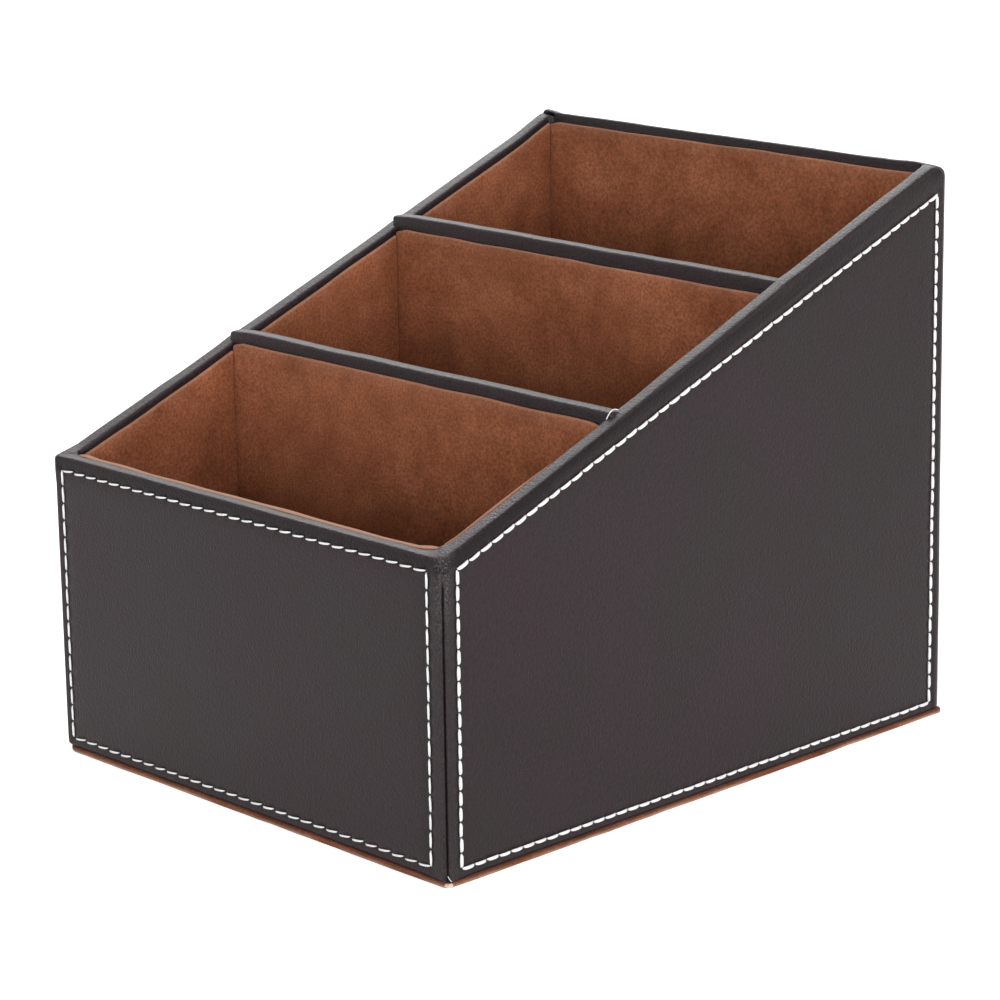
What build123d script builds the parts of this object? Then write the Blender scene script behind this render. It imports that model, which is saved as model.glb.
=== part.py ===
from build123d import *
from math import atan2, ceil, degrees, hypot, sqrt
import os

# Driving dimensions in millimetres, overall box
organizer_width = 120.0
organizer_depth = 149.0
front_rim_height = 65.0
back_rim_height = 121.0
side_rim_rear_rise = 2.0
side_rear_corner_radius = 4.0
back_corner_radius = 3.2

# Material thicknesses
pad_thickness = 1.0
leather_thickness = 0.8
turn_in_thickness = 0.6
wall_board_thickness = 2.2
back_board_thickness = 2.4
base_board_thickness = 3.6
divider_board_thickness = 2.4
lining_thickness = 1.0

# Rims, edges and seams
board_edge_radius_share = 0.44
cover_edge_radius_share = 0.48
bottom_edge_radius = 1.2
corner_radius = 0.6
seam_clearance = 0.05
turn_in_drop = 12.0
pad_inset = 0.4
pad_corner_radius = 2.0

# Dividers, measured from the front face to the middle of each divider
front_divider_position = 49.5
rear_divider_position = 98.0
divider_stand_proud = 0.9
divider_end_clearance = 0.1
divider_lining_drop = 2.2
lining_drop = 1.0
front_lining_drop = 0.6
lining_corner_radius = 2.5

# Stitching
stitch_inset = 3.8
stitch_rim_inset = 2.6
stitch_rear_inset = 4.6
stitch_bottom_inset = 2.0
stitch_slope_inset = 4.2
front_stitch_pitch = 3.9
side_stitch_pitch = 3.3
stitch_length_share = 0.8
stitch_width = 0.7
stitch_rise = 0.35

# Derived sizes
half_width = organizer_width / 2
half_depth = organizer_depth / 2
side_rim_rear_height = back_rim_height + side_rim_rear_rise
side_rim_slope = (side_rim_rear_height - front_rim_height) / organizer_depth
cover_depth = leather_thickness + wall_board_thickness + turn_in_thickness
back_cover_depth = leather_thickness + back_board_thickness + turn_in_thickness
cavity_half_width = half_width - cover_depth
cavity_front = -half_depth + cover_depth
cavity_back = half_depth - back_cover_depth
board_base_height = pad_thickness + leather_thickness
base_board_top = pad_thickness + base_board_thickness
divider_depth = divider_board_thickness + 2 * turn_in_thickness
front_divider_y = -half_depth + front_divider_position
rear_divider_y = -half_depth + rear_divider_position
front_divider_top = front_rim_height + side_rim_slope * front_divider_position + divider_stand_proud
rear_divider_top = front_rim_height + side_rim_slope * rear_divider_position + divider_stand_proud


def rim_height_at(y):
    return front_rim_height + side_rim_slope * (y + half_depth)


# Planes lying on the ground at the foot of each wall, second axis pointing inward
front_foot = Plane(origin=(0, -half_depth, 0), x_dir=(1, 0, 0), z_dir=(0, 0, 1))
back_foot = Plane(origin=(0, half_depth, 0), x_dir=(-1, 0, 0), z_dir=(0, 0, 1))
left_foot = Plane(origin=(-half_width, 0, 0), x_dir=(0, -1, 0), z_dir=(0, 0, 1))
right_foot = Plane(origin=(half_width, 0, 0), x_dir=(0, 1, 0), z_dir=(0, 0, 1))

# Planes standing on each outer face, second axis pointing up
front_face = Plane(origin=(0, -half_depth, 0), x_dir=(1, 0, 0), z_dir=(0, -1, 0))
back_face = Plane(origin=(0, half_depth, 0), x_dir=(-1, 0, 0), z_dir=(0, 1, 0))
left_face = Plane(origin=(-half_width, 0, 0), x_dir=(0, -1, 0), z_dir=(-1, 0, 0))
right_face = Plane(origin=(half_width, 0, 0), x_dir=(0, 1, 0), z_dir=(1, 0, 0))


def mitred_outline(length, near, far, pull_back, rounding):
    # Trapezoid between two depths behind the outer face, ends cut at forty five degrees
    near_half = length / 2 - near - pull_back * sqrt(2)
    far_half = length / 2 - far - pull_back * sqrt(2)
    Polygon((-near_half, near), (near_half, near), (far_half, far), (-far_half, far), align=None)
    if rounding > 0:
        fillet(vertices().sort_by(Axis.Y)[:2], rounding)


def side_outline(inset_bottom, inset_rim, inset_ends, rear_radius):
    # Side elevation with a sloping top, first axis is the depth axis
    front = -half_depth + inset_ends
    rear = half_depth - inset_ends
    drop = inset_rim * hypot(1, side_rim_slope)
    Polygon(
        (front, inset_bottom),
        (rear, inset_bottom),
        (rear, rim_height_at(rear) - drop),
        (front, rim_height_at(front) - drop),
        align=None,
    )
    fillet(vertices().sort_by(Axis.Y)[-1], rear_radius)


def back_outline(inset_bottom, inset, corner):
    # Back elevation with rounded upper corners
    side = half_width - inset
    top = back_rim_height - inset
    Polygon((-side, inset_bottom), (side, inset_bottom), (side, top), (-side, top), align=None)
    fillet(vertices().sort_by(Axis.Y)[-2:], corner)


# Front and back boards, mitred at the corners and rounded along the top
with BuildPart() as front_board:
    with BuildSketch(front_foot.offset(board_base_height)):
        mitred_outline(
            organizer_width, leather_thickness, leather_thickness + wall_board_thickness, leather_thickness, 0
        )
    extrude(amount=front_rim_height - leather_thickness - board_base_height)
    top_edges = front_board.faces().sort_by(Axis.Z)[-1].edges().filter_by(Axis.X)
    fillet(top_edges, wall_board_thickness * board_edge_radius_share)

with BuildPart() as back_board:
    with BuildSketch(back_face.offset(-leather_thickness)):
        back_outline(board_base_height, leather_thickness, back_corner_radius)
    extrude(amount=-back_board_thickness)
    rim_edges = back_board.edges().filter_by(
        lambda edge: edge.center().Z > back_rim_height / 2 and abs(edge.tangent_at(0.5).X) > 0.1
    )
    fillet(rim_edges, back_board_thickness * board_edge_radius_share)
    with BuildSketch(back_foot):
        mitred_outline(
            organizer_width, leather_thickness, leather_thickness + back_board_thickness, leather_thickness, 0
        )
    extrude(amount=back_rim_height, mode=Mode.INTERSECT)

# Right side board with the sloping top, the left one is its mirror image
board_plane = right_face.offset(-leather_thickness)
with BuildPart() as right_side_board:
    with BuildSketch(board_plane):
        side_outline(board_base_height, leather_thickness, leather_thickness, side_rear_corner_radius)
    extrude(amount=-wall_board_thickness)
    rim_edges = right_side_board.edges().filter_by(
        lambda edge: edge.center().Z > front_rim_height and abs(edge.tangent_at(0.5).Y) > 0.1
    )
    fillet(rim_edges, wall_board_thickness * board_edge_radius_share)
    with BuildSketch(right_foot):
        mitred_outline(
            organizer_depth, leather_thickness, leather_thickness + wall_board_thickness, leather_thickness, 0
        )
    extrude(amount=side_rim_rear_height, mode=Mode.INTERSECT)

with BuildPart() as left_side_board:
    add(right_side_board.part)
    mirror(about=Plane.YZ, mode=Mode.REPLACE)

# Leather covers wrap each board over the rim, around the ends and under the foot
with BuildPart() as front_cover:
    with BuildSketch(Plane.YZ) as front_section:
        with BuildLine():
            Polyline(
                (-half_depth, pad_thickness),
                (-half_depth + cover_depth, pad_thickness),
                (-half_depth + cover_depth, front_rim_height),
                (-half_depth, front_rim_height),
                close=True,
            )
        make_face()
        fillet(front_section.vertices().sort_by(Axis.Y)[-2:], cover_depth * cover_edge_radius_share)
        fillet(front_section.vertices().sort_by(Axis.X)[0], bottom_edge_radius)
    extrude(amount=half_width, both=True)
    with BuildSketch(front_foot):
        mitred_outline(organizer_width, 0, cover_depth, seam_clearance, corner_radius)
    extrude(amount=front_rim_height, mode=Mode.INTERSECT)
    add(front_board.part, mode=Mode.SUBTRACT)
    with BuildSketch(front_foot.offset(pad_thickness)):
        with Locations((0, leather_thickness + wall_board_thickness)):
            Rectangle(organizer_width, cover_depth, align=(Align.CENTER, Align.MIN))
    extrude(amount=front_rim_height - turn_in_drop - pad_thickness, mode=Mode.SUBTRACT)

with BuildPart() as back_cover:
    with BuildSketch(back_face):
        back_outline(pad_thickness, 0, back_corner_radius + leather_thickness)
    extrude(amount=-back_cover_depth)
    rim_edges = back_cover.edges().filter_by(
        lambda edge: edge.center().Z > back_rim_height / 2 and abs(edge.tangent_at(0.5).X) > 0.1
    )
    fillet(rim_edges, back_cover_depth * cover_edge_radius_share)
    bottom_edge = back_cover.edges().filter_by(Axis.X).sort_by(Axis.Z)[:2].sort_by(Axis.Y)[-1]
    fillet(bottom_edge, bottom_edge_radius)
    with BuildSketch(back_foot):
        mitred_outline(organizer_width, 0, back_cover_depth, seam_clearance, corner_radius)
    extrude(amount=back_rim_height, mode=Mode.INTERSECT)
    add(back_board.part, mode=Mode.SUBTRACT)
    with BuildSketch(back_foot.offset(pad_thickness)):
        with Locations((0, leather_thickness + back_board_thickness)):
            Rectangle(organizer_width, cover_depth, align=(Align.CENTER, Align.MIN))
    extrude(amount=back_rim_height - turn_in_drop - pad_thickness, mode=Mode.SUBTRACT)

with BuildPart() as right_side_cover:
    with BuildSketch(right_face):
        side_outline(pad_thickness, 0, 0, side_rear_corner_radius + leather_thickness)
    extrude(amount=-cover_depth)
    rim_edges = right_side_cover.edges().filter_by(
        lambda edge: edge.center().Z > front_rim_height and abs(edge.tangent_at(0.5).Y) > 0.1
    )
    fillet(rim_edges, cover_depth * cover_edge_radius_share)
    bottom_edge = right_side_cover.edges().filter_by(Axis.Y).sort_by(Axis.Z)[:2].sort_by(Axis.X)[-1]
    fillet(bottom_edge, bottom_edge_radius)
    with BuildSketch(right_foot):
        mitred_outline(organizer_depth, 0, cover_depth, seam_clearance, corner_radius)
    extrude(amount=side_rim_rear_height, mode=Mode.INTERSECT)
    add(right_side_board.part, mode=Mode.SUBTRACT)
    with BuildSketch(right_face.offset(-leather_thickness - wall_board_thickness)):
        side_outline(pad_thickness, turn_in_drop, 0, side_rear_corner_radius)
    extrude(amount=-cover_depth, mode=Mode.SUBTRACT)

with BuildPart() as left_side_cover:
    add(right_side_cover.part)
    mirror(about=Plane.YZ, mode=Mode.REPLACE)

# Base board between the walls and the pad glued under everything
base_front = -half_depth + leather_thickness + wall_board_thickness
base_back = half_depth - leather_thickness - back_board_thickness
base_half_width = half_width - leather_thickness - wall_board_thickness
with BuildPart() as base_board:
    with BuildSketch(Plane.XY.offset(pad_thickness)):
        with Locations((0, (base_front + base_back) / 2)):
            Rectangle(2 * base_half_width, base_back - base_front)
    extrude(amount=base_board_thickness)

with BuildPart() as base_pad:
    with BuildSketch():
        RectangleRounded(
            organizer_width - 2 * pad_inset, organizer_depth - 2 * pad_inset, pad_corner_radius
        )
    extrude(amount=pad_thickness)

# Divider boards stand on the base board, each with a leather cap folded over its top
divider_width = 2 * (cavity_half_width - divider_end_clearance)
cap_radius = divider_depth * cover_edge_radius_share
divider_radius = divider_board_thickness * board_edge_radius_share


dividers = {}
for divider_name, position, top in (
    ("front_divider", front_divider_y, front_divider_top),
    ("rear_divider", rear_divider_y, rear_divider_top),
):
    with BuildPart() as divider_board:
        with BuildSketch(Plane.XY.offset(base_board_top)):
            with Locations((0, position)):
                Rectangle(divider_width - 2 * turn_in_thickness, divider_board_thickness)
        extrude(amount=top - turn_in_thickness - base_board_top)
        ridge = divider_board.faces().sort_by(Axis.Z)[-1].edges().filter_by(Axis.X)
        fillet(ridge, divider_radius)
    with BuildPart() as divider_cap:
        with BuildSketch(Plane.XY.offset(top - turn_in_drop)):
            with Locations((0, position)):
                Rectangle(divider_width, divider_depth)
        extrude(amount=turn_in_drop)
        ridge = divider_cap.faces().sort_by(Axis.Z)[-1].edges().filter_by(Axis.X)
        fillet(ridge, cap_radius)
        add(divider_board.part, mode=Mode.SUBTRACT)
    dividers[divider_name + "_board"] = divider_board
    dividers[divider_name + "_cap"] = divider_cap

# Suede covered lining cards, four around each bay and one on its floor
front_divider_near = front_divider_y - divider_depth / 2
front_divider_far = front_divider_y + divider_depth / 2
rear_divider_near = rear_divider_y - divider_depth / 2
rear_divider_far = rear_divider_y + divider_depth / 2
bays = {
    "front_bay": (
        cavity_front,
        front_divider_near,
        front_rim_height - front_lining_drop,
        front_divider_top - divider_lining_drop,
    ),
    "middle_bay": (
        front_divider_far,
        rear_divider_near,
        front_divider_top - divider_lining_drop,
        rear_divider_top - divider_lining_drop,
    ),
    "rear_bay": (
        rear_divider_far,
        cavity_back,
        rear_divider_top - divider_lining_drop,
        back_rim_height - lining_drop,
    ),
}
linings = {}
for bay_name, (bay_near, bay_far, near_top, far_top) in bays.items():
    inner_near = bay_near + lining_thickness
    inner_far = bay_far - lining_thickness
    with BuildPart() as near_card:
        with BuildSketch(Plane.XZ.offset(-inner_near)) as near_outline:
            with Locations((0, base_board_top)):
                Rectangle(2 * cavity_half_width, near_top - base_board_top, align=(Align.CENTER, Align.MIN))
            fillet(near_outline.vertices().sort_by(Axis.Y)[-2:], lining_corner_radius)
        extrude(amount=lining_thickness)
    with BuildPart() as far_card:
        with BuildSketch(Plane.XZ.offset(-bay_far)) as far_outline:
            with Locations((0, base_board_top)):
                Rectangle(2 * cavity_half_width, far_top - base_board_top, align=(Align.CENTER, Align.MIN))
            fillet(far_outline.vertices().sort_by(Axis.Y)[-2:], lining_corner_radius)
        extrude(amount=lining_thickness)
    with BuildPart() as right_card:
        with BuildSketch(Plane.YZ.offset(cavity_half_width - lining_thickness)):
            Polygon(
                (inner_near, base_board_top),
                (inner_far, base_board_top),
                (inner_far, min(rim_height_at(inner_far), back_rim_height) - lining_drop),
                (inner_near, rim_height_at(inner_near) - lining_drop),
                align=None,
            )
        extrude(amount=lining_thickness)
    with BuildPart() as left_card:
        add(right_card.part)
        mirror(about=Plane.YZ, mode=Mode.REPLACE)
    with BuildPart() as floor_card:
        with BuildSketch(Plane.XY.offset(base_board_top)):
            with Locations((0, (inner_near + inner_far) / 2)):
                Rectangle(2 * (cavity_half_width - lining_thickness), inner_far - inner_near)
        extrude(amount=lining_thickness)
    linings[bay_name + "_front_lining"] = near_card
    linings[bay_name + "_back_lining"] = far_card
    linings[bay_name + "_right_lining"] = right_card
    linings[bay_name + "_left_lining"] = left_card
    linings[bay_name + "_floor_lining"] = floor_card


# Stitching, one flat based thread length per stitch lying on the outer face
def stitch_row(start, end, pitch):
    run = hypot(end[0] - start[0], end[1] - start[1])
    count = ceil(run / pitch)
    angle = degrees(atan2(end[1] - start[1], end[0] - start[0]))
    row = []
    for index in range(count):
        share = (index + 0.5) / count
        x = start[0] + (end[0] - start[0]) * share
        y = start[1] + (end[1] - start[1]) * share
        row.append(Location((x, y, 0), (0, 0, angle)))
    return row


def stitched_border(corners, pitch):
    for start, end in zip(corners, corners[1:] + corners[:1]):
        with Locations(*stitch_row(start, end, pitch)):
            SlotOverall(pitch * stitch_length_share, stitch_width)


bottom_row = pad_thickness + stitch_bottom_inset
panel_edge = half_width - stitch_inset
front_corners = [
    (-panel_edge, bottom_row),
    (panel_edge, bottom_row),
    (panel_edge, front_rim_height - stitch_rim_inset),
    (-panel_edge, front_rim_height - stitch_rim_inset),
]
back_corners = [
    (-panel_edge, bottom_row),
    (panel_edge, bottom_row),
    (panel_edge, back_rim_height - stitch_inset),
    (-panel_edge, back_rim_height - stitch_inset),
]
slope_front_y = -half_depth + stitch_inset
slope_rear_y = half_depth - stitch_rear_inset
side_corners = [
    (slope_front_y, bottom_row),
    (slope_rear_y, bottom_row),
    (slope_rear_y, rim_height_at(slope_rear_y) - stitch_slope_inset),
    (slope_front_y, rim_height_at(slope_front_y) - stitch_slope_inset),
]

with BuildPart() as front_stitching:
    with BuildSketch(front_face):
        stitched_border(front_corners, front_stitch_pitch)
    extrude(amount=stitch_rise)

with BuildPart() as back_stitching:
    with BuildSketch(back_face):
        stitched_border(back_corners, front_stitch_pitch)
    extrude(amount=stitch_rise)

with BuildPart() as right_side_stitching:
    with BuildSketch(right_face):
        stitched_border(side_corners, side_stitch_pitch)
    extrude(amount=stitch_rise)

with BuildPart() as left_side_stitching:
    add(right_side_stitching.part)
    mirror(about=Plane.YZ, mode=Mode.REPLACE)

# Labels and exchange files
pieces = {
    "base_board": base_board,
    "front_board": front_board,
    "back_board": back_board,
    "left_side_board": left_side_board,
    "right_side_board": right_side_board,
    "front_cover": front_cover,
    "back_cover": back_cover,
    "left_side_cover": left_side_cover,
    "right_side_cover": right_side_cover,
    "base_pad": base_pad,
    "front_stitching": front_stitching,
    "back_stitching": back_stitching,
    "left_side_stitching": left_side_stitching,
    "right_side_stitching": right_side_stitching,
}
pieces.update(dividers)
pieces.update(linings)
os.makedirs("parts", exist_ok=True)
for name, piece in pieces.items():
    piece.part.label = name
    export_step(piece.part, "parts/" + name + ".step")
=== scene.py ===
import bpy
import bmesh
import math
import random
from mathutils import Euler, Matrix, Vector, kdtree, noise


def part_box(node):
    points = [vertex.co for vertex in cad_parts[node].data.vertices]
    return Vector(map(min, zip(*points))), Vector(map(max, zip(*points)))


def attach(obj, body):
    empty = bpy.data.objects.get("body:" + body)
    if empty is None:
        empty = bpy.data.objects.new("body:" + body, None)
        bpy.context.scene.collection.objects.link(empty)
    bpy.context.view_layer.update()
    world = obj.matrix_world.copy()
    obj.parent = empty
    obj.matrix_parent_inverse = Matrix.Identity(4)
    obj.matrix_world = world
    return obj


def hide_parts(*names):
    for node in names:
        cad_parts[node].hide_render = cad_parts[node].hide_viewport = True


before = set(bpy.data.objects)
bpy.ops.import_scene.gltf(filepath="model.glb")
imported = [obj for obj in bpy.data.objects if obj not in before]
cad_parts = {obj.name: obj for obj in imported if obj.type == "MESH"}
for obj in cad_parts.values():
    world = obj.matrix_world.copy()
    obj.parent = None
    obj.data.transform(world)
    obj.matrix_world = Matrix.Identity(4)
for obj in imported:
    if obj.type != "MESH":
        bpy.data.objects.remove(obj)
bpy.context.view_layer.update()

# Camera at the photographed angle
CAMERA_PLACE = (0.5229792, -0.5036910, 0.2449749)
CAMERA_TURN = (75.0964, 0.7753, 45.9609)
LENS = 126.5245
SENSOR_WIDTH = 36.0
NEAREST_SEEN = 0.05
camera_data = bpy.data.cameras.new("view")
camera_data.sensor_width = SENSOR_WIDTH
camera_data.lens = LENS
camera_data.clip_start = NEAREST_SEEN
camera = bpy.data.objects.new("view", camera_data)
camera.location = CAMERA_PLACE
camera.rotation_euler = Euler([math.radians(turn) for turn in CAMERA_TURN], "XYZ")
bpy.context.collection.objects.link(camera)
bpy.context.scene.camera = camera

# Sizes of the box in metres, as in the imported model
# The walls stand on a pad FOOT high, and the side walls end at SIDE_END, before the back panel
HALF_W = 0.060
HALF_D = 0.0745
FOOT = 0.001
FRONT_RIM = 0.065
BACK_RIM = 0.121
SIDE_REAR_RIM = 0.123
SLOPE = (SIDE_REAR_RIM - FRONT_RIM) / (2 * HALF_D)
WALL = 0.0036
BACK_WALL = 0.0038
LEATHER = 0.0007
HEM_ROUND = 0.0008
RIM_ROUND = 0.0006
CORNER_ROUND = 0.0012
TOP_CORNER_ROUND = 0.0024
BACK_CORNER_ROUND = 0.0025
BACK_TOP_CORNER_ROUND = 0.0037
CORNER_STEPS = 12
SIDE_END = 0.0713
DIVIDER_Y = (-0.025, 0.0235)
# Points nearer to a plane than this lie on it
ON_PLANE = 1e-6


def softly(share):
    # From 0 to 1 with a gentle start and end
    share = min(1.0, max(0.0, share))
    return share * share * (3.0 - 2.0 * share)


def bell(distance, width):
    # One at the middle, fading to nothing at about twice the width
    return math.exp(-((distance / width) ** 2))


def side_rim(y):
    # The side rims' straight line
    return FRONT_RIM + SLOPE * (y + HALF_D)


def round_corner(a, b, radius):
    # Distances from two edges, pulled in to a round corner of that radius
    reach = Vector((radius - a, radius - b))
    if reach.x <= 0 or reach.y <= 0 or reach.length <= radius:
        return a, b
    reach *= radius / reach.length
    return radius - reach.x, radius - reach.y


# Materials
class Surface:
    # A node material with one main shader, built step by step
    def __init__(self, name):
        self.material = bpy.data.materials.new(name)
        self.material.use_nodes = True
        self.nodes = self.material.node_tree.nodes
        self.links = self.material.node_tree.links
        self.shader = self.nodes["Principled BSDF"]
        coordinates = self.nodes.new("ShaderNodeTexCoord")
        self.place = coordinates.outputs["Object"]
        self.unwrapped = coordinates.outputs["UV"]

    def scaled(self, scale, source=None):
        mapping = self.nodes.new("ShaderNodeMapping")
        mapping.inputs["Scale"].default_value = scale
        self.links.new(source or self.place, mapping.inputs["Vector"])
        return mapping.outputs["Vector"]

    def noise(self, scale, detail=3.0, roughness=0.5, source=None):
        node = self.nodes.new("ShaderNodeTexNoise")
        node.inputs["Scale"].default_value = scale
        node.inputs["Detail"].default_value = detail
        node.inputs["Roughness"].default_value = roughness
        self.links.new(source or self.place, node.inputs["Vector"])
        return node.outputs["Fac"]

    def cells(self, scale):
        node = self.nodes.new("ShaderNodeTexVoronoi")
        node.inputs["Scale"].default_value = scale
        self.links.new(self.place, node.inputs["Vector"])
        return node.outputs["Distance"]

    def ramp(self, factor, stops):
        node = self.nodes.new("ShaderNodeValToRGB")
        ramp = node.color_ramp
        while len(ramp.elements) < len(stops):
            ramp.elements.new(0.5)
        for element, (position, color) in zip(ramp.elements, stops):
            element.position = position
            element.color = (*color, 1.0)
        self.links.new(factor, node.inputs["Fac"])
        return node.outputs["Color"]

    def math(self, operation, first, second=None, third=None):
        node = self.nodes.new("ShaderNodeMath")
        node.operation = operation
        for socket, value in zip(node.inputs, (first, second, third)):
            if value is None:
                continue
            if isinstance(value, (int, float)):
                socket.default_value = value
            else:
                self.links.new(value, socket)
        return node.outputs["Value"]

    def mix(self, factor, first, second, blend="MIX"):
        node = self.nodes.new("ShaderNodeMix")
        node.data_type = "RGBA"
        node.blend_type = blend
        # Sockets 6 and 7 of this node take colours, and so does its third output
        for socket, value in ((node.inputs[0], factor), (node.inputs[6], first), (node.inputs[7], second)):
            if isinstance(value, (int, float)):
                socket.default_value = value
            elif isinstance(value, tuple):
                socket.default_value = (*value, 1.0)
            else:
                self.links.new(value, socket)
        return node.outputs[2]

    def attribute(self, name):
        node = self.nodes.new("ShaderNodeAttribute")
        node.attribute_name = name
        return node.outputs["Fac"]

    def bump(self, heights):
        # Several heights with their strengths and distances, stacked
        normal = None
        for height, strength, distance in heights:
            node = self.nodes.new("ShaderNodeBump")
            node.inputs["Strength"].default_value = strength
            node.inputs["Distance"].default_value = distance
            self.links.new(height, node.inputs["Height"])
            if normal is not None:
                self.links.new(normal, node.inputs["Normal"])
            normal = node.outputs["Normal"]
        self.links.new(normal, self.shader.inputs["Normal"])

    def color(self, value):
        self.links.new(value, self.shader.inputs["Base Color"])

    def roughness(self, value):
        self.links.new(value, self.shader.inputs["Roughness"])


# Colours in linear light, and gloss levels
BROWN_COOL, BROWN_WARM = (0.0132, 0.0084, 0.0090), (0.0172, 0.0079, 0.0106)
# Multiplier for a darker strip under the rim, and for painted shade on the front rim's inner edge
DARK_STRIP_AND_PAINTED_GAP_SHADE = (0.35, 0.33, 0.33)
WORN_GREY = (0.088, 0.082, 0.082)
LEATHER_GLOSS, DARK_STRIP_GLOSS = 0.215, 0.145
RUST_DARK, RUST_LIGHT, RUST_EDGE_AND_HIGHLIGHT = (0.207, 0.068, 0.030), (0.318, 0.115, 0.055), (0.50, 0.29, 0.21)
TAN_DARK, TAN_LIGHT, TAN_PAINTED_LIGHT = (0.125, 0.042, 0.022), (0.23, 0.083, 0.045), (0.60, 0.46, 0.38)
THREAD_SHADE, THREAD_WHITE = (0.93, 0.93, 0.92), (1.0, 1.0, 0.99)
BOARD_DARK, BOARD_LIGHT = (0.28, 0.19, 0.11), (0.42, 0.30, 0.19)
BARE_BOARD_DARK, BARE_BOARD_LIGHT = (0.62, 0.46, 0.36), (0.98, 0.84, 0.74)
BLACK, WHITE = (0, 0, 0), (1, 1, 1)


def leather_finish(name):
    # Grained and semi matt, darker in a strip under the rim, with painted shade on the front rim's inner
    # edge, and grey where worn
    s = Surface(name)
    broad = s.noise(30.0, detail=2.0)
    fine = s.noise(1100.0, detail=3.0, roughness=0.65)
    pebble = s.cells(2100.0)
    base = s.ramp(broad, [(0.35, BROWN_COOL), (0.65, BROWN_WARM)])
    speck = s.ramp(fine, [(0.32, (0.5, 0.5, 0.5)), (0.7, (1.6, 1.58, 1.58))])
    grained = s.mix(0.8, base, speck, blend="MULTIPLY")
    # Darker in a strip under the rim, and painted shade on the front rim's inner edge
    strip_darkened = s.mix(s.attribute("dark_strip_and_painted_gap_shade"), grained, DARK_STRIP_AND_PAINTED_GAP_SHADE, blend="MULTIPLY")
    scuffs = s.ramp(s.noise(2800.0, detail=2.0), [(0.46, BLACK), (0.72, WHITE)])
    worn = s.math("MULTIPLY", scuffs, s.attribute("edge_wear"))
    s.color(s.mix(worn, strip_darkened, WORN_GREY))
    s.roughness(s.math("MULTIPLY_ADD", fine, 0.20, 0.32))
    # The socket keeps the plain gloss too, for uses that drop its link
    gloss = s.shader.inputs["Specular IOR Level"]
    gloss.default_value = LEATHER_GLOSS
    less = DARK_STRIP_GLOSS - LEATHER_GLOSS
    s.links.new(s.math("MULTIPLY_ADD", s.attribute("dark_strip_and_painted_gap_shade"), less, LEATHER_GLOSS), gloss)
    s.bump([(pebble, 0.55, 0.00014), (fine, 0.50, 0.00014)])
    return s.material


def suede_finish(name, dark, light, cut):
    # Clouded and brushed, with a fine nap and paler edges: partly the cut edge's own colour, partly painted
    # light
    s = Surface(name)
    cloud = s.noise(70.0, detail=4.0, roughness=0.55)
    brushed = s.noise(1.0, detail=3.0, roughness=0.6, source=s.scaled((260.0, 260.0, 200.0)))
    nap = s.noise(1700.0, detail=3.0, roughness=0.7)
    base = s.ramp(cloud, [(0.32, dark), (0.68, light)])
    soft = s.ramp(brushed, [(0.35, (0.90, 0.87, 0.86)), (0.65, (1.08, 1.09, 1.09))])
    speck = s.ramp(nap, [(0.36, (0.60, 0.57, 0.56)), (0.64, (1.40, 1.38, 1.37))])
    napped = s.mix(0.75, s.mix(0.8, base, soft, blend="MULTIPLY"), speck, blend="MULTIPLY")
    # Paler edge colour mixed in: on the cards partly their cut edge and partly a painted highlight, on the
    # pad painted light towards its foot
    s.color(s.mix(s.attribute("cut_edge_and_painted_light"), napped, cut))
    s.shader.inputs["Roughness"].default_value = 1.0
    s.shader.inputs["Specular IOR Level"].default_value = 0.1
    s.shader.inputs["Sheen Weight"].default_value = 0.12
    s.shader.inputs["Sheen Roughness"].default_value = 0.5
    s.shader.inputs["Sheen Tint"].default_value = (1.0, 0.70, 0.5, 1.0)
    s.bump([(nap, 0.55, 0.00020), (brushed, 0.2, 0.0002)])
    return s.material


def thread_finish(name):
    # Twisted along the stitch's own unwrapping
    s = Surface(name)
    twist = s.nodes.new("ShaderNodeTexWave")
    twist.wave_type = "BANDS"
    twist.bands_direction = "DIAGONAL"
    twist.inputs["Scale"].default_value = 3.0
    twist.inputs["Distortion"].default_value = 0.6
    s.links.new(s.scaled((2.0, 2.2, 1.0), source=s.unwrapped), twist.inputs["Vector"])
    fibre = s.noise(5200.0, detail=1.0)
    s.color(s.ramp(fibre, [(0.25, THREAD_SHADE), (0.7, THREAD_WHITE)]))
    s.shader.inputs["Roughness"].default_value = 0.55
    s.bump([(twist.outputs["Fac"], 0.5, 0.00008), (fibre, 0.3, 0.00004)])
    return s.material


def board_finish(name, dark, light):
    # Pressed fibres, longer up the wall than along it
    s = Surface(name)
    fibre = s.noise(1.0, detail=5.0, source=s.scaled((700.0, 700.0, 260.0)))
    s.color(s.ramp(fibre, [(0.3, dark), (0.7, light)]))
    s.shader.inputs["Roughness"].default_value = 0.9
    s.bump([(fibre, 0.3, 0.0001)])
    return s.material


leather = leather_finish("espresso_leather")
suede = suede_finish("rust_suede", RUST_DARK, RUST_LIGHT, RUST_EDGE_AND_HIGHLIGHT)
pad_suede = suede_finish("tan_pad_suede", TAN_DARK, TAN_LIGHT, TAN_PAINTED_LIGHT)
thread = thread_finish("white_thread")
fibreboard = board_finish("fibreboard", BOARD_DARK, BOARD_LIGHT)
bare_board = board_finish("bare_board", BARE_BOARD_DARK, BARE_BOARD_LIGHT)

for node_name, node_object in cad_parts.items():
    finish = leather
    if node_name.endswith("_board"):
        finish = fibreboard
    elif node_name.endswith("_lining"):
        finish = suede
    elif node_name == "base_pad":
        finish = pad_suede
    elif node_name.endswith("_stitching"):
        finish = thread
    for slot in node_object.material_slots:
        slot.material = finish


# Modelling helpers
LEAST_WEIGHT = 0.002


def lift_selection():
    # Nothing stays selected
    bpy.ops.object.select_all(action="DESELECT")


def only(piece):
    # This piece alone is selected and active
    lift_selection()
    piece.select_set(True)
    bpy.context.view_layer.objects.active = piece


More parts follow.
